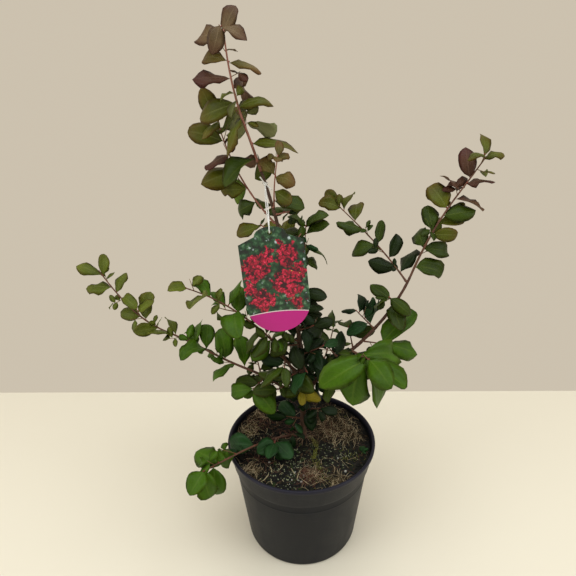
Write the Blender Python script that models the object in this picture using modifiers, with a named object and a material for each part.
"""Young flowering shrub in a round nursery pot, as separate solids.

The pot stands on z = 0 with its axis on the Z axis. The main stem rises a little behind the
middle of the pot, leans to -X as it climbs, and carries four boughs and a number of leafy shoots.
Every stem is a short list of headings and climbs, and a seeded rule sets leaves and side twigs
along it. A leaf or twig that would touch a limb, the pot, the label or another leaf is left out.
"""
import math
import random

import bmesh
import bpy
import numpy as np
from mathutils import Matrix, Vector

# Pot, turned round Z (metres)
POT_HEIGHT = 0.160
RIM_RADIUS = 0.105
LIP_WIDTH = 0.0042
LIP_HEIGHT = 0.0055
LIP_ROUND = 0.0012
COLLAR_TOP_RADIUS = 0.1030
COLLAR_FOOT_RADIUS = 0.0985
COLLAR_FOOT_HEIGHT = 0.1310
BODY_TOP_RADIUS = 0.0952
BODY_TOP_HEIGHT = 0.1240
BASE_RADIUS = 0.0812
FOOT_ROUND = 0.0030
WALL = 0.0016
FLOOR = 0.0030
FLOOR_CORNER = 0.0005
DRAIN_COUNT = 8
DRAIN_RADIUS = 0.0045
DRAIN_RING = 0.0560
ROUND_STEPS = 40

# Compost, with a level middle and a slight fall towards the wall
SOIL_TOP = 0.1500
SOIL_EDGE_DROP = 0.0025
SOIL_LEVEL_RADIUS = 0.030
SOIL_CLEAR_RADIUS = 0.0975

# Label: a peaked card that hangs from a loop through its hole
LABEL_MIDDLE = (-0.029, -0.0213, 0.405)
LABEL_TILT = 8.0
LABEL_ROLL = 5.5
LABEL_THICKNESS = 0.0006
LABEL_HALF_WIDTH = 0.0390
LABEL_SHOULDER = 0.0490
LABEL_SHOULDER_RISE = 0.0080
LABEL_PEAK = 0.0675
LABEL_PEAK_HALF_WIDTH = 0.0190
LABEL_STRAIGHT_FOOT = -0.0250
LABEL_FOOT = -0.0620
LABEL_HOLE_HEIGHT = 0.0600
LABEL_HOLE_RADIUS = 0.0026
LABEL_MARGIN = 0.002
LABEL_VIEW_DEPTH = 0.070

# Tie: a thin loop round the main stem, with a knot and two cut tails
TIE_RADIUS = 0.0007
TIE_SHARE = 0.962
TIE_SPACE = 0.0016
KNOT_RADIUS = 0.0022
TAIL_LENGTH = 0.011
TAIL_WAYS = ((-0.5, -0.2, 0.85), (0.75, -0.35, -0.5))
STRAND_BOW = 0.0012
HOLE_PASS = ((1.6, 0.0035), (0.4, 0.0022), (0.0, 0.0), (0.4, -0.0022), (1.6, -0.0035))

# Growth
GAP = 0.0003
STEM_STEP = 0.004
LIMB_STEP = 0.016
SHOOT_STEP = 0.012
FLARE_HEIGHT = 0.006
FLARE_STATIONS = (0.002, 0.005, 0.009)
TOUCH_MARGIN = 0.003
LEAF_CLEARANCE = 0.0030
STEM_CLEARANCE = 0.0012
TWIG_RADIUS = 0.0007
LEAF_THICKNESS = 0.014
PETIOLE_HALF_WIDTH = 0.0006
LEAF_OUTLINE = ((0.32, 0.92), (0.70, 0.92))
BLADE_SHARES = (0.2, 0.3, 0.4, 0.5, 0.6, 0.7, 0.8, 0.9, 1.0)
ROOT_SHARE = 0.25
TWIG_SHARES = (0.3, 0.5, 0.7, 0.9, 1.0)
UP = np.array((0.0, 0.0, 1.0))
FACING = np.array((0.0, -0.6, 0.8))
LEAF_LENGTHS = (0.85, 1.15)
TUFT_OUT = (15, 45)
TUFT_SIZE = 0.8
SPRAY_THICK = (0.0010, 0.0007)
SPRAY_HABIT = dict(spacing=0.0085, twig_every=0, tuft=1)
TWIG_LENGTH = (0.014, 0.028)
TWIG_OUT = (40, 65)
TWIG_LIFT = (-0.1, 0.3)
TWIG_LEAVES = ((0.55, 0.0), (0.80, math.pi), (0.98, math.pi / 2))
TWIG_LEAF_SIZE = 0.82

# How leaves stand on their stems, in degrees, unless a stem says otherwise
HABIT = dict(spacing=0.0165, scatter=35, out=(50, 80), lift=(-0.45, 0.2), roll=45, bend=(15, 70),
             fold=(4, 24), broad=(0.50, 0.66), keep=0.92, bare=0.0, twig_every=4, tuft=3)


def limb(carrier, at, headings, climbs, length, thick, **more):
    """A stem: what carries it and at which share of that one's length, its headings (degrees from
    +X towards +Y) and climbs (degrees above level) at even steps, length, foot and tip radius."""
    return dict(carrier=carrier, at=at, headings=headings, climbs=climbs, length=length, thick=thick, **more)


def shoot(*stem, leaf, seed, **more):
    """A leafy stem: also its leaf lengths from foot to tip and the seed of its rule."""
    return dict(HABIT, **limb(*stem), leaf=leaf, seed=seed, **more)


def spray(carrier, at, heading, climb, length, leaf, seed, **more):
    """A short leafy spur on a limb."""
    return shoot(carrier, at, (heading,), (climb,), length, SPRAY_THICK, leaf=(leaf,), seed=seed,
                 **dict(SPRAY_HABIT, **more))


BARE_LIMBS = {
    "trunk": limb(None, 0.0, (150, 178), (90, 89, 82, 79, 72), 0.385, (0.0042, 0.0018),
                  foot=(0.003, 0.009, SOIL_TOP + GAP), flare=0.0040),
    "right_bough": limb("trunk", 0.205, (8, 14), (52, 37, 50, 68), 0.215, (0.0029, 0.0017)),
    "left_bough": limb("trunk", 0.172, (177,), (44, 25), 0.078, (0.0026, 0.0018)),
    "left_mid_bough": limb("trunk", 0.272, (201,), (59, 61), 0.075, (0.0021, 0.0015)),
    "low_bough": limb("trunk", 0.016, (-147, -142), (23, 10), 0.055, (0.0019, 0.0015)),
}
SHOOTS = {
    "leader_shoot": shoot("trunk", 1.0, (180,), (73, 71, 80, 88), 0.152, (0.0017, 0.0008),
                          leaf=(0.046, 0.052, 0.048, 0.038), seed=8, spacing=0.0215, lift=(-0.7, 0.1),
                          bend=(30, 90), tuft=5),
    "second_shoot": shoot("trunk", 0.835, (163, 142), (45, 57, 72), 0.141, (0.0013, 0.0007),
                          leaf=(0.040, 0.044, 0.046), seed=9, spacing=0.0200, lift=(-0.5, 0.1)),
    "third_shoot": shoot("trunk", 0.885, (-86, -63), (70, 64), 0.066, (0.0010, 0.0006),
                         leaf=(0.040, 0.036, 0.026), seed=11, spacing=0.016, twig_every=0),
    "rear_shoot": shoot("trunk", 0.50, (70, 75), (70, 76), 0.120, (0.0013, 0.0007),
                        leaf=(0.038, 0.042), seed=7, spacing=0.0175),
    "back_shoot": shoot("trunk", 0.33, (95, 105), (48, 58), 0.190, (0.0018, 0.0008),
                        leaf=(0.038, 0.042, 0.036), seed=4, spacing=0.019),
    "back_low_shoot": shoot("trunk", 0.17, (55, 75), (25, 35), 0.130, (0.0018, 0.0008),
                            leaf=(0.038, 0.042, 0.036), seed=6, spacing=0.019),
    "right_shoot": shoot("right_bough", 1.0, (14, 18), (70, 62, 52, 53), 0.175, (0.0016, 0.0008),
                         leaf=(0.038, 0.042, 0.040, 0.040), seed=9, spacing=0.0235, lift=(-0.1, 0.6)),
    "side_shoot": shoot("right_bough", 0.96, (136, 150), (44, 38, 36), 0.142, (0.0013, 0.0007),
                        leaf=(0.042, 0.040, 0.038), seed=5, spacing=0.0225, lift=(0.1, 0.8)),
    "front_shoot": shoot("right_bough", 0.40, (-88,), (25, 26), 0.130, (0.0019, 0.0009),
                         leaf=(0.040, 0.050, 0.060), seed=3, bare=0.01, spacing=0.019, twig_every=0,
                         lift=(-1.2, -0.2), roll=30),
    "left_shoot": shoot("left_bough", 1.0, (170, 165), (18, 26, 18, 46, 58), 0.260, (0.0017, 0.0008),
                        leaf=(0.048, 0.042, 0.036, 0.038, 0.036), seed=3, spacing=0.0245, lift=(0.4, 1.1)),
    "left_mid_shoot": shoot("left_mid_bough", 1.0, (200, 200), (52, 42, 26), 0.135, (0.0014, 0.0007),
                            leaf=(0.038, 0.040, 0.034), seed=3, spacing=0.021, lift=(-0.2, 0.4)),
    "low_shoot": shoot("low_bough", 1.0, (-142, -133), (10, 4, 9), 0.105, (0.0014, 0.0008),
                       leaf=(0.036, 0.038, 0.040), seed=8, spacing=0.015, twig_every=0, lift=(-0.8, -0.1),
                       roll=25, broad=(0.66, 0.85)),
    "low_spray": spray("low_bough", 0.80, -95, 20, 0.014, 0.034, 2, broad=(0.66, 0.85), lift=(-0.2, 0.1),
                       bend=(5, 20), roll=10),
    "trunk_spray_1": spray("trunk", 0.09, -155, 25, 0.022, 0.042, 2),
    "trunk_spray_2": spray("trunk", 0.13, -25, 20, 0.022, 0.036, 4),
    "trunk_spray_3": spray("trunk", 0.22, -95, 35, 0.025, 0.032, 1),
    "trunk_spray_4": spray("trunk", 0.36, -15, 30, 0.030, 0.040, 5),
    "trunk_spray_5": spray("trunk", 0.415, 200, 35, 0.026, 0.036, 3),
    "trunk_spray_6": spray("trunk", 0.455, -40, 30, 0.024, 0.034, 6),
    "trunk_spray_7": spray("trunk", 0.26, 100, 25, 0.040, 0.040, 2),
    "trunk_spray_8": spray("trunk", 0.73, 20, 50, 0.030, 0.036, 4),
    "trunk_spray_9": spray("trunk", 0.80, 190, 30, 0.022, 0.040, 3),
    "trunk_spray_10": spray("trunk", 0.86, -20, 15, 0.022, 0.040, 5),
    "trunk_spray_11": spray("trunk", 0.30, -118, 12, 0.034, 0.042, 4),
    "trunk_spray_12": spray("trunk", 0.33, -78, 8, 0.034, 0.040, 2),
    "trunk_spray_13": spray("trunk", 0.40, -140, 15, 0.028, 0.034, 3),
    "left_bough_spray": spray("left_bough", 0.75, -120, -5, 0.028, 0.040, 1),
    "left_rear_spray": spray("left_bough", 0.85, 110, 40, 0.026, 0.036, 3),
    "left_front_spray": spray("left_bough", 0.42, -95, 25, 0.030, 0.038, 3),
    "left_mid_front_spray": spray("left_mid_bough", 0.50, -90, 10, 0.028, 0.036, 2),
    "left_mid_spray": spray("left_mid_bough", 0.85, 230, 60, 0.026, 0.036, 6),
    "right_spray_1": spray("right_bough", 0.17, -60, 20, 0.026, 0.042, 5),
    "right_spray_2": spray("right_bough", 0.30, 150, 40, 0.028, 0.038, 3),
    "right_spray_3": spray("right_bough", 0.42, 100, 40, 0.028, 0.038, 7),
    "right_spray_4": spray("right_bough", 0.60, 170, 45, 0.032, 0.038, 5),
    "right_spray_5": spray("right_bough", 0.80, -120, 40, 0.026, 0.038, 8),
    "right_spray_7": spray("right_bough", 0.27, 25, 0, 0.028, 0.040, 2),
    "right_spray_6": spray("right_bough", 0.50, -35, 10, 0.030, 0.060, 3, spacing=0.012, lift=(-0.2, 0.2),
                           roll=25),
}


def unit(vector):
    return vector / math.sqrt(float(vector @ vector))


def heading_vector(heading, climb):
    level = math.cos(math.radians(climb))
    return np.array((level * math.cos(math.radians(heading)),
                     level * math.sin(math.radians(heading)),
                     math.sin(math.radians(climb))))


def stem_points(start, stem):
    """Points along a stem, whose heading and climb change evenly from station to station."""
    count = max(3, round(stem["length"] / STEM_STEP))
    middles = (np.arange(count) + 0.5) / count
    heading = np.radians(np.interp(middles, np.linspace(0, 1, len(stem["headings"])), stem["headings"]))
    climb = np.radians(np.interp(middles, np.linspace(0, 1, len(stem["climbs"])), stem["climbs"]))
    steps = np.stack((np.cos(climb) * np.cos(heading), np.cos(climb) * np.sin(heading), np.sin(climb)), 1)
    return np.vstack((start, start + np.cumsum(steps, axis=0) * stem["length"] / count))


def point_at(points, share):
    """Point and direction at a share of a run of points."""
    where = min(max(share, 0.0), 1.0) * (len(points) - 1)
    index = min(int(where), len(points) - 2)
    step = points[index + 1] - points[index]
    return points[index] + step * (where - index), unit(step)


def radius_at(stem, share):
    foot, tip = stem["thick"]
    flare = stem.get("flare", 0.0) * math.exp(-share * stem["length"] / FLARE_HEIGHT)
    return tip + (foot - tip) * (1 - share) + flare


def foot_on(carrier, share, first, foot_radius):
    """Start of a stem, so that its flat foot just clears the limb that carries it."""
    point, along = point_at(carrier["points"], share)
    out = along if share >= 1.0 else unit(first - (first @ along) * along)
    tilt = math.sqrt(max(0.0, 1 - float(first @ out) ** 2))
    reach = 0.0 if share >= 1.0 else radius_at(carrier, share)
    return point + out * (reach + GAP + foot_radius * tilt)


def sides(along):
    """Two directions across a stem: to its right as seen from the front, and away from the front."""
    right = unit(np.cross(along, FACING))
    return right, np.cross(along, right)


def grow_stems():
    """All stems, each one started on the one that carries it."""
    stems = {}
    for name, spec in {**BARE_LIMBS, **SHOOTS}.items():
        stem = dict(spec)
        if stem["carrier"]:
            first = heading_vector(stem["headings"][0], stem["climbs"][0])
            start = foot_on(stems[stem["carrier"]], stem["at"], first, stem["thick"][0])
        else:
            start = np.array(stem["foot"])
        stem["points"] = stem_points(start, stem)
        stems[name] = stem
    return stems


def leaf_section(leaf, share, width_share):
    """Middle, left edge, right edge and face direction of a leaf at a share of its length."""
    bend, fold = leaf["bend"], leaf["fold"]
    along, face = leaf["along"], leaf["face"]
    reach = math.sin(bend * share) / bend * along - (1 - math.cos(bend * share)) / bend * face
    middle = leaf["root"] + leaf["length"] * reach
    tilted = math.cos(bend * share) * face + math.sin(bend * share) * along
    side = np.cross(face, along) * math.cos(fold)
    rise = tilted * math.sin(fold)
    half = leaf["width"] / 2 * width_share
    return middle, middle + half * (side + rise), middle + half * (rise - side), tilted


def spread(along, turn, out, lift):
    """Direction that leaves a stem at an angle, on the side that the turn gives."""
    right, back = sides(along)
    across = math.cos(turn) * right + math.sin(turn) * back
    return unit(math.cos(out) * along + math.sin(out) * across + lift * UP)


def draw_leaf(rng, stem, root, along, turn, size, out=None):
    """One leaf of the rule. Its draws come in a fixed order, whether or not it is kept."""
    turn += math.radians(rng.uniform(-1, 1) * stem["scatter"])
    angle = math.radians(rng.uniform(*(out or stem["out"])))
    length = size * rng.uniform(*LEAF_LENGTHS)
    direction = spread(along, turn, angle, rng.uniform(*stem["lift"]))
    roll = math.radians(rng.uniform(-1, 1) * stem["roll"])
    bend = math.radians(rng.uniform(*stem["bend"]))
    fold = math.radians(rng.uniform(*stem["fold"]))
    width = length * rng.uniform(*stem["broad"])
    kept = rng.random() < stem["keep"]
    face = unit(FACING - (FACING @ direction) * direction)
    face = math.cos(roll) * face + math.sin(roll) * np.cross(face, direction)
    return dict(kind="leaf", root=root, along=direction, face=face, length=length, width=width,
                bend=bend, fold=fold, kept=kept)


def draw_twig(rng, stem, root, along, turn, size):
    """A short side twig with three smaller leaves."""
    turn += math.radians(rng.uniform(-30, 30))
    out = math.radians(rng.uniform(*TWIG_OUT))
    length = rng.uniform(*TWIG_LENGTH)
    way = spread(along, turn, out, rng.uniform(*TWIG_LIFT))
    leaves = [draw_leaf(rng, stem, root + way * length * share, way, side, size * TWIG_LEAF_SIZE)
              for share, side in TWIG_LEAVES]
    return dict(kind="twig", points=np.array((root, root + way * length)), leaves=leaves)


def draw_shoot(stem):
    """All leaves and twigs that the rule draws for a shoot: pairs in two ranks, a twig towards the
    front or the back here and there, and a tuft at the tip."""
    rng = random.Random(stem["seed"])
    length, bare, points, every = stem["length"], stem["bare"], stem["points"], stem["twig_every"]
    count = max(1, int((length - bare) / stem["spacing"]))
    drawn = []
    for node in range(count):
        middle = (bare + (node + 0.5) * (length - bare) / count) / length
        for half in (0, 1):
            share = middle + (rng.uniform(-0.2, 0.2) + half * 0.25) * stem["spacing"] / length
            size = float(np.interp(share, np.linspace(0, 1, len(stem["leaf"])), stem["leaf"]))
            root, along = point_at(points, min(share, 0.99))
            drawn.append(draw_leaf(rng, stem, root, along, half * math.pi, size))
        if every and node % every == every // 2:
            turn = math.pi * (0.5 + node // every)
            drawn.append(draw_twig(rng, stem, root, along, turn, size))
    for leaf in range(stem["tuft"]):
        root, along = point_at(points, 0.99 - 0.01 * leaf)
        turn = 2 * math.pi * leaf / stem["tuft"] + math.pi / 2
        drawn.append(draw_leaf(rng, stem, root, along, turn, stem["leaf"][-1] * TUFT_SIZE, TUFT_OUT))
    return drawn


def blade_points(leaf):
    """Points spread over a leaf, each with its share of the leaf's length."""
    points = []
    for share in BLADE_SHARES:
        width_share = max(math.sin(math.pi * share ** 0.92) ** 0.75, 0.05) if share < 1 else 0.0
        middle, left, right, _ = leaf_section(leaf, share, width_share)
        parts = (0.0, 0.5, 1.0) if share < 1 else (0.0,)
        points += [(share, middle + (left - middle) * part) for part in parts]
        points += [(share, middle + (right - middle) * part) for part in parts if part]
    return points


class Space:
    """Points already taken, each with a radius and an owner, looked up by small cubes."""

    CUBE = 0.008

    def __init__(self):
        self.cubes = {}

    def cube(self, point):
        return tuple(int(value // self.CUBE) for value in point)

    def take(self, point, radius=0.0, owner=None):
        self.cubes.setdefault(self.cube(point), []).append((tuple(map(float, point)), radius, owner))

    def free(self, point, owner, gap):
        x, y, z = self.cube(point)
        for i, j, k in ((i, j, k) for i in (-1, 0, 1) for j in (-1, 0, 1) for k in (-1, 0, 1)):
            for taken, radius, other in self.cubes.get((x + i, y + j, z + k), ()):
                near = sum((a - b) ** 2 for a, b in zip(taken, point)) < (radius + gap) ** 2
                if near and (other is None or other != owner):
                    return False
        return True


def clear_of_pot(point):
    across = math.hypot(point[0], point[1])
    if point[2] > POT_HEIGHT + TOUCH_MARGIN or across > RIM_RADIUS + TOUCH_MARGIN:
        return True
    return across < SOIL_CLEAR_RADIUS - TOUCH_MARGIN and point[2] > SOIL_TOP + TOUCH_MARGIN


def label_matrix():
    """The label lies in its own XY plane, with its front on +Z."""
    return (Matrix.Translation(LABEL_MIDDLE) @ Matrix.Rotation(math.radians(90 - LABEL_TILT), 4, "X")
            @ Matrix.Rotation(math.radians(LABEL_ROLL), 4, "Z"))


def clear_of_label(point, to_label):
    """Nothing stands within the label or between it and a viewer in front."""
    x, y, z = to_label @ Vector(point)
    beside = abs(x) > LABEL_HALF_WIDTH + LABEL_MARGIN
    over_or_under = not LABEL_FOOT - LABEL_MARGIN < y < LABEL_PEAK + LABEL_MARGIN
    return beside or over_or_under or not -TOUCH_MARGIN < z < LABEL_VIEW_DEPTH


class Crown:
    """The space round the limbs, which the leaves of all shoots share out."""

    def __init__(self, stems):
        self.limbs = Space()
        self.leaves = Space()
        self.blades = Space()
        self.to_label = label_matrix().inverted()
        for name, stem in stems.items():
            for index, point in enumerate(stem["points"]):
                self.limbs.take(point, radius_at(stem, index / (len(stem["points"]) - 1)), name)
        knot = tie_knot(stems["trunk"])
        for end in (label_hole(), *(tail_point(knot, way, 1.0) for way in TAIL_WAYS)):
            for point in np.linspace(knot, end, 16):
                self.limbs.take(point, TIE_SPACE, "label_tie")

    def fits(self, points, outer, owner, gap):
        """True where the points clear the pot, label, limbs and other shoots, and the outer ones
        also clear the rest of their own shoot."""
        return (all(clear_of_pot(point) and clear_of_label(point, self.to_label)
                    and self.limbs.free(point, owner, gap)
                    and self.leaves.free(point, owner, LEAF_CLEARANCE) for point in points)
                and all(self.blades.free(point, None, LEAF_CLEARANCE) for point in outer))

    def take(self, points, outer, owner, radius=0.0):
        for point in points:
            self.leaves.take(point, radius, owner)
        for point in outer:
            self.blades.take(point, radius)

    def place_leaf(self, leaf, owner):
        """Takes the space of a leaf, or returns False where it has no room."""
        points = [point for _, point in blade_points(leaf)]
        outer = [point for share, point in blade_points(leaf) if share >= ROOT_SHARE]
        if not leaf["kept"] or not self.fits(points, outer, owner, STEM_CLEARANCE):
            return False
        self.take(points, outer, owner)
        return True

    def place_twig(self, twig, owner):
        """The leaves of a twig that have room, or none where the twig itself has no room."""
        points = [point_at(twig["points"], share)[0] for share in TWIG_SHARES]
        if not self.fits(points, points, owner, STEM_CLEARANCE + TWIG_RADIUS):
            return []
        leaves = [leaf for leaf in twig["leaves"] if self.place_leaf(leaf, owner)]
        if leaves:
            self.take(points, points[2:], owner, TWIG_RADIUS)
        return leaves


def grow_leaves(stems):
    """The leaves and twigs of every shoot that have room."""
    crown = Crown(stems)
    grown = {}
    for name in SHOOTS:
        grown[name] = dict(leaves=[], twigs=[])
        for item in draw_shoot(stems[name]):
            if item["kind"] == "leaf":
                if crown.place_leaf(item, name):
                    grown[name]["leaves"].append(item)
                continue
            leaves = crown.place_twig(item, name)
            grown[name]["leaves"] += leaves
            grown[name]["twigs"] += [item] if leaves else []
    return grown


def new_material(name, color, roughness, metallic=0.0):
    material = bpy.data.materials.new(name)
    material.use_nodes = True
    surface = material.node_tree.nodes["Principled BSDF"]
    surface.inputs["Base Color"].default_value = (*color, 1.0)
    surface.inputs["Roughness"].default_value = roughness
    surface.inputs["Metallic"].default_value = metallic
    return material


def new_object(name, data, collection, material=None):
    thing = bpy.data.objects.new(name, data)
    collection.objects.link(thing)
    if material:
        data.materials.append(material)
    return thing


def turned(name, profile, collection, material):
    """A solid of revolution: the profile goes out from the axis and comes back to it."""
    mesh = bpy.data.meshes.new(name)
    mesh.from_pydata([(radius, 0.0, height) for radius, height in profile],
                     [(index, index + 1) for index in range(len(profile) - 1)], [])
    thing = new_object(name, mesh, collection, material)
    screw = thing.modifiers.new("turn", "SCREW")
    screw.axis = "Z"
    screw.steps = screw.render_steps = ROUND_STEPS
    screw.use_merge_vertices = True
    screw.merge_threshold = 0.00001
    screw.use_smooth_shade = True
    return thing


def tube(name, points, radii, collection, material=None, resolution=2, closed=False):
    """A round curve through the points, with a radius at each one."""
    curve = bpy.data.curves.new(name, "CURVE")
    curve.dimensions = "3D"
    curve.bevel_depth = 1.0
    curve.bevel_resolution = resolution
    curve.use_fill_caps = not closed
    spline = curve.splines.new("POLY")
    spline.points.add(len(points) - 1)
    for knot, point, radius in zip(spline.points, points, radii):
        knot.co = (*point, 1.0)
        knot.radius = radius
    spline.use_cyclic_u = closed
    return new_object(name, curve, collection, material)


def as_mesh(curve_object, collection):
    """The same shape as a mesh with its caps welded on."""
    depsgraph = bpy.context.evaluated_depsgraph_get()
    mesh = bpy.data.meshes.new_from_object(curve_object.evaluated_get(depsgraph))
    name, matrix, curve = curve_object.name, curve_object.matrix_world.copy(), curve_object.data
    bpy.data.objects.remove(curve_object)
    bpy.data.curves.remove(curve)
    shape = bmesh.new()
    shape.from_mesh(mesh)
    bmesh.ops.remove_doubles(shape, verts=shape.verts, dist=0.00001)
    bmesh.ops.triangulate(shape, faces=shape.faces)
    shape.to_mesh(mesh)
    shape.free()
    thing = new_object(name, mesh, collection)
    thing.matrix_world = matrix
    return thing


def leaf_mesh(name, leaf):
    """A thin closed blade: a petiole section sunk in the stem, two wide sections and a tip."""
    shape = bmesh.new()
    thick = leaf["length"] * LEAF_THICKNESS / 2
    rings = []
    petiole = PETIOLE_HALF_WIDTH / (leaf["width"] / 2)
    for share, width_share in ((0.0, petiole), *LEAF_OUTLINE):
        middle, left, right, face = leaf_section(leaf, share, width_share)
        ring = (left, middle + face * thick, right, middle - face * thick)
        rings.append([shape.verts.new(point) for point in ring])
    tip = shape.verts.new(leaf_section(leaf, 1.0, 0.0)[0])
    shape.faces.new(rings[0])
    for near, far in zip(rings, rings[1:]):
        for side in range(4):
            shape.faces.new((near[side], far[side], far[side - 3], near[side - 3]))
    for side in range(4):
        shape.faces.new((rings[-1][side], tip, rings[-1][side - 3]))
    bmesh.ops.recalc_face_normals(shape, faces=shape.faces)
    bmesh.ops.triangulate(shape, faces=shape.faces)
    mesh = bpy.data.meshes.new(name)
    shape.to_mesh(mesh)
    shape.free()
    return mesh


def twig_mesh(name, points):
    """A three-sided twig from the middle of its stem to its tip."""
    shape = bmesh.new()
    run = Vector(points[-1]) - Vector(points[0])
    turn = run.to_track_quat("Z", "Y").to_matrix().to_4x4()
    place = Matrix.Translation((Vector(points[0]) + Vector(points[-1])) / 2) @ turn
    bmesh.ops.create_cone(shape, cap_ends=True, segments=3, radius1=TWIG_RADIUS * 1.25,
                          radius2=TWIG_RADIUS, depth=run.length, matrix=place)
    bmesh.ops.triangulate(shape, faces=shape.faces)
    mesh = bpy.data.meshes.new(name)
    shape.to_mesh(mesh)
    shape.free()
    return mesh


def join(target, pieces):
    """One union of the target with every object of a collection, applied, and the pieces removed."""
    union = target.modifiers.new("join", "BOOLEAN")
    union.operation = "UNION"
    union.operand_type = "COLLECTION"
    union.collection = pieces
    union.solver = "MANIFOLD"
    depsgraph = bpy.context.evaluated_depsgraph_get()
    joined = bpy.data.meshes.new_from_object(target.evaluated_get(depsgraph))
    target.modifiers.clear()
    target.data = joined
    for piece in list(pieces.objects):
        bpy.data.objects.remove(piece)
    bpy.data.collections.remove(pieces)


def stations(stem, step):
    """Even stations along a stem, as points and radii. A flared foot has a few more close together."""
    shares = np.linspace(0, 1, max(2, round(stem["length"] / step)) + 1)
    if "flare" in stem:
        shares = np.unique(np.append(shares, np.array(FLARE_STATIONS) / stem["length"]))
    points = [point_at(stem["points"], share)[0] for share in shares]
    return points, [radius_at(stem, share) for share in shares]


def make_limb(name, stem, collection, material):
    """A bare limb: one tapering round tube, cut flat at both ends."""
    points, radii = stations(stem, LIMB_STEP)
    tube(name, points, radii, collection, material, resolution=4 if "flare" in stem else 2)


def make_shoot(name, stem, grown, collection, material):
    """A leafy mass: its stem, side twigs and leaves joined into one solid."""
    points, radii = stations(stem, SHOOT_STEP)
    target = as_mesh(tube(name, points, radii, collection, resolution=0), collection)
    target.data.materials.append(material)
    pieces = bpy.data.collections.new(name + "_pieces")
    bpy.context.scene.collection.children.link(pieces)
    for index, leaf in enumerate(grown["leaves"]):
        new_object(f"leaf_{index}", leaf_mesh(f"leaf_{index}", leaf), pieces)
    for index, twig in enumerate(grown["twigs"]):
        new_object(f"twig_{index}", twig_mesh(f"twig_{index}", twig["points"]), pieces)
    join(target, pieces)
    target.name = name


def wall_profile():
    """Outer side of the pot from its lip down to the foot, as radius and height."""
    lip_foot = POT_HEIGHT - LIP_HEIGHT
    foot_radius = BASE_RADIUS - FOOT_ROUND
    return [(RIM_RADIUS - LIP_WIDTH + LIP_ROUND, POT_HEIGHT),
            (RIM_RADIUS - LIP_ROUND, POT_HEIGHT),
            (RIM_RADIUS, POT_HEIGHT - LIP_ROUND),
            (RIM_RADIUS - LIP_ROUND / 4, lip_foot + LIP_ROUND / 2),
            (COLLAR_TOP_RADIUS, lip_foot),
            (COLLAR_FOOT_RADIUS, COLLAR_FOOT_HEIGHT),
            (BODY_TOP_RADIUS, BODY_TOP_HEIGHT),
            (BASE_RADIUS, FOOT_ROUND * 1.5),
            (BASE_RADIUS - FOOT_ROUND * 0.35, FOOT_ROUND * 0.5),
            (foot_radius, 0.0)]


def inner_profile(clearance=0.0):
    """Inner side of the pot from its floor up to the lip, or the same with a clearance inwards."""
    return [(BASE_RADIUS - WALL - clearance - FLOOR_CORNER, FLOOR + clearance),
            (BODY_TOP_RADIUS - WALL - clearance, BODY_TOP_HEIGHT + clearance),
            (COLLAR_FOOT_RADIUS - WALL - clearance, COLLAR_FOOT_HEIGHT + clearance),
            (RIM_RADIUS - LIP_WIDTH - clearance, POT_HEIGHT - LIP_HEIGHT)]


def make_pot(collection, cutters, material):
    profile = [(0.0, FLOOR), *inner_profile(), (RIM_RADIUS - LIP_WIDTH, POT_HEIGHT - LIP_ROUND),
               *wall_profile(), (0.0, 0.0)]
    pot = turned("pot", profile, collection, material)
    for index in range(DRAIN_COUNT):
        angle = 2 * math.pi * (index + 0.5) / DRAIN_COUNT
        hole = bmesh.new()
        place = Matrix.Translation((DRAIN_RING * math.cos(angle), DRAIN_RING * math.sin(angle), FLOOR / 2))
        bmesh.ops.create_cone(hole, cap_ends=True, segments=12, radius1=DRAIN_RADIUS, radius2=DRAIN_RADIUS,
                              depth=FLOOR * 3, matrix=place)
        mesh = bpy.data.meshes.new(f"drain_{index}")
        hole.to_mesh(mesh)
        hole.free()
        cutter = new_object(f"drain_{index}", mesh, cutters)
        cutter.hide_render = True
        cutter.display_type = "WIRE"
    drain = pot.modifiers.new("drain", "BOOLEAN")
    drain.operation = "DIFFERENCE"
    drain.operand_type = "COLLECTION"
    drain.collection = cutters
    drain.solver = "EXACT"


def make_compost(collection, material):
    """The root ball fills the pot, a hair clear of its wall."""
    inner = inner_profile(GAP)
    (low_radius, low), (high_radius, high) = inner[-2:]
    edge = SOIL_TOP - SOIL_EDGE_DROP
    edge_radius = low_radius + (high_radius - low_radius) * (edge - low) / (high - low)
    turned("compost", [(0.0, SOIL_TOP), (SOIL_LEVEL_RADIUS, SOIL_TOP), (edge_radius, edge),
                       *inner[-2::-1], (0.0, FLOOR + GAP)], collection, material)


def label_outline():
    """Right half of the label's edge from its peak to its foot: a hump, a shoulder and a round foot."""
    hump = [(LABEL_PEAK_HALF_WIDTH * math.sin(turn),
             LABEL_SHOULDER + LABEL_SHOULDER_RISE
             + (LABEL_PEAK - LABEL_SHOULDER - LABEL_SHOULDER_RISE) * math.cos(turn))
            for turn in np.linspace(0, math.pi / 2, 7)]
    foot = [(LABEL_HALF_WIDTH * math.cos(turn),
             LABEL_STRAIGHT_FOOT + (LABEL_FOOT - LABEL_STRAIGHT_FOOT) * math.sin(turn))
            for turn in np.linspace(0, math.pi / 2, 13)]
    return hump + [(LABEL_HALF_WIDTH, LABEL_SHOULDER)] + foot


def make_label(collection, material):
    right = label_outline()
    left = [(-x, y) for x, y in right[-2:0:-1]]
    hole = [(LABEL_HOLE_RADIUS * math.cos(turn), LABEL_HOLE_HEIGHT + LABEL_HOLE_RADIUS * math.sin(turn))
            for turn in np.linspace(0, 2 * math.pi, 16, endpoint=False)]
    card = bpy.data.curves.new("label", "CURVE")
    card.dimensions = "2D"
    card.fill_mode = "BOTH"
    card.extrude = LABEL_THICKNESS / 2
    for loop in (right + left, hole):
        spline = card.splines.new("POLY")
        spline.points.add(len(loop) - 1)
        for knot, (x, y) in zip(spline.points, loop):
            knot.co = (x, y, 0.0, 1.0)
        spline.use_cyclic_u = True
    label = new_object("label", card, collection, material)
    label.matrix_world = label_matrix()


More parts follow.
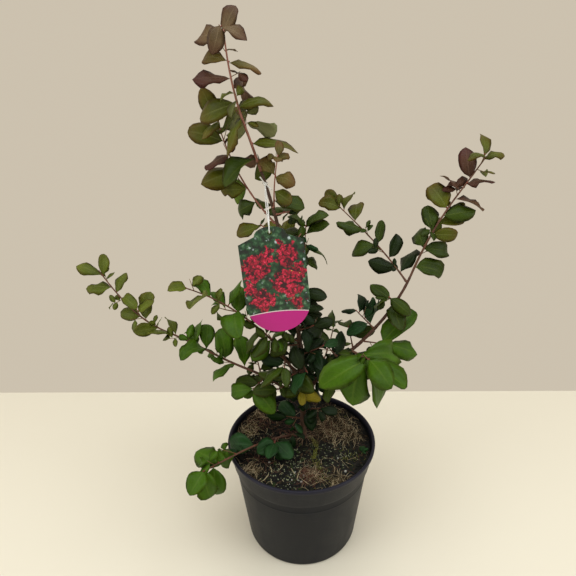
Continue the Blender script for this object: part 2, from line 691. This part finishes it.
def tie_knot(trunk):
    """Middle of the knot, just in front of the stem."""
    point, _ = point_at(trunk["points"], TIE_SHARE)
    return point + np.array((0.0, -radius_at(trunk, TIE_SHARE) - GAP - KNOT_RADIUS, 0.0))


def tail_point(knot, way, share):
    return knot + unit(np.array(way)) * TAIL_LENGTH * share


def label_hole():
    return np.array(label_matrix() @ Vector((0.0, LABEL_HOLE_HEIGHT, 0.0)))


def make_tie(trunk, collection, material):
    """A loop round the stem that hangs down and passes through the label's hole, with its knot."""
    centre, _ = point_at(trunk["points"], TIE_SHARE)
    ring = radius_at(trunk, TIE_SHARE) + GAP + TIE_RADIUS
    half_ring = [centre + np.array((ring * math.sin(turn), ring * math.cos(turn), 0.0))
                 for turn in np.linspace(-math.pi * 0.8, math.pi * 0.8, 15)]
    knot = tie_knot(trunk)
    matrix = label_matrix()
    side = LABEL_HOLE_RADIUS - GAP - TIE_RADIUS
    low = [np.array(matrix @ Vector((0.0, LABEL_HOLE_HEIGHT + side * rise, depth)))
           for rise, depth in HOLE_PASS]
    apart = np.array((STRAND_BOW, 0.0, 0.0))
    shares = np.linspace(0, 1, 5)
    front = [knot + (low[0] - knot) * share + apart * math.sin(math.pi * share) for share in shares[:-1]]
    back = [low[-1] + (knot - low[-1]) * share - apart * math.sin(math.pi * share) for share in shares[1:]]
    loop = half_ring + front + low + back
    target = as_mesh(tube("label_tie", loop, [TIE_RADIUS] * len(loop), collection, resolution=0, closed=True),
                     collection)
    target.data.materials.append(material)
    pieces = bpy.data.collections.new("tie_pieces")
    bpy.context.scene.collection.children.link(pieces)
    bead = bmesh.new()
    bmesh.ops.create_icosphere(bead, subdivisions=2, radius=KNOT_RADIUS, matrix=Matrix.Translation(knot))
    mesh = bpy.data.meshes.new("knot")
    bead.to_mesh(mesh)
    bead.free()
    new_object("knot", mesh, pieces)
    for index, way in enumerate(TAIL_WAYS):
        tail = [tail_point(knot, way, share) for share in (0.0, 0.5, 1.0)]
        as_mesh(tube(f"tail_{index}", tail, [TIE_RADIUS] * 3, pieces, resolution=0), pieces)
    join(target, pieces)
    target.name = "label_tie"


def main():
    for thing in list(bpy.data.objects):
        bpy.data.objects.remove(thing)
    plant = bpy.data.collections.new("potted_crape_myrtle")
    cutters = bpy.data.collections.new("cutters")
    for collection in (plant, cutters):
        bpy.context.scene.collection.children.link(collection)
    cutters.hide_render = True

    make_pot(plant, cutters, new_material("pot_plastic", (0.035, 0.035, 0.037), 0.5))
    make_compost(plant, new_material("compost", (0.045, 0.028, 0.016), 0.95))
    stems = grow_stems()
    for name in BARE_LIMBS:
        make_limb(name, stems[name], plant, new_material(name + "_bark", (0.085, 0.045, 0.030), 0.75))
    for name, grown in grow_leaves(stems).items():
        foliage = new_material(name + "_leaves", (0.045, 0.110, 0.030), 0.5)
        make_shoot(name, stems[name], grown, plant, foliage)
    make_label(plant, new_material("label_card", (0.55, 0.02, 0.10), 0.35))
    make_tie(stems["trunk"], plant, new_material("tie", (0.85, 0.85, 0.83), 0.5))


main()
